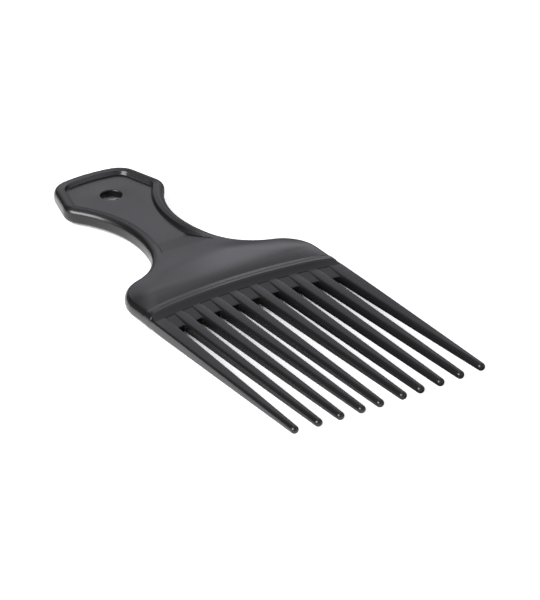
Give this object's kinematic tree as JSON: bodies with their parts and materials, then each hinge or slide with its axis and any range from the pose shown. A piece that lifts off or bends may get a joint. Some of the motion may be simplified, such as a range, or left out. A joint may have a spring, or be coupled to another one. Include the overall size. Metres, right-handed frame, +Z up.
{
  "type": "afro pick",
  "caption": "Hair pick with a row of long tapered teeth, a domed shoulder and a fishtail handle that has a raised rim, a recessed panel and a hang hole.",
  "frame": {"origin": "centre of the bounding box in X and Y, on the plane the pick lies on", "axes": "+X along the pick towards the tooth tips, +Y across the teeth, +Z up through the thickness"},
  "size_m": [0.163, 0.0642, 0.0064],
  "materials": {
    "black_plastic": "semi-gloss black moulded plastic"
  },
  "bodies": {
    "root": {"handle_panel": "black_plastic", "rim_end": "black_plastic", "rim_left": "black_plastic", "rim_right": "black_plastic", "neck_ramp": "black_plastic", "shoulder": "black_plastic", "cross_rib": "black_plastic", "tooth_bar": "black_plastic", "web_01": "black_plastic", "web_02": "black_plastic", "web_03": "black_plastic", "web_04": "black_plastic", "web_05": "black_plastic", "web_06": "black_plastic", "web_07": "black_plastic", "web_08": "black_plastic", "web_09": "black_plastic", "tooth_01": "black_plastic", "tooth_02": "black_plastic", "tooth_03": "black_plastic", "tooth_04": "black_plastic", "tooth_05": "black_plastic", "tooth_06": "black_plastic", "tooth_07": "black_plastic", "tooth_08": "black_plastic", "tooth_09": "black_plastic", "tooth_10": "black_plastic"}
  },
  "joints": []
}
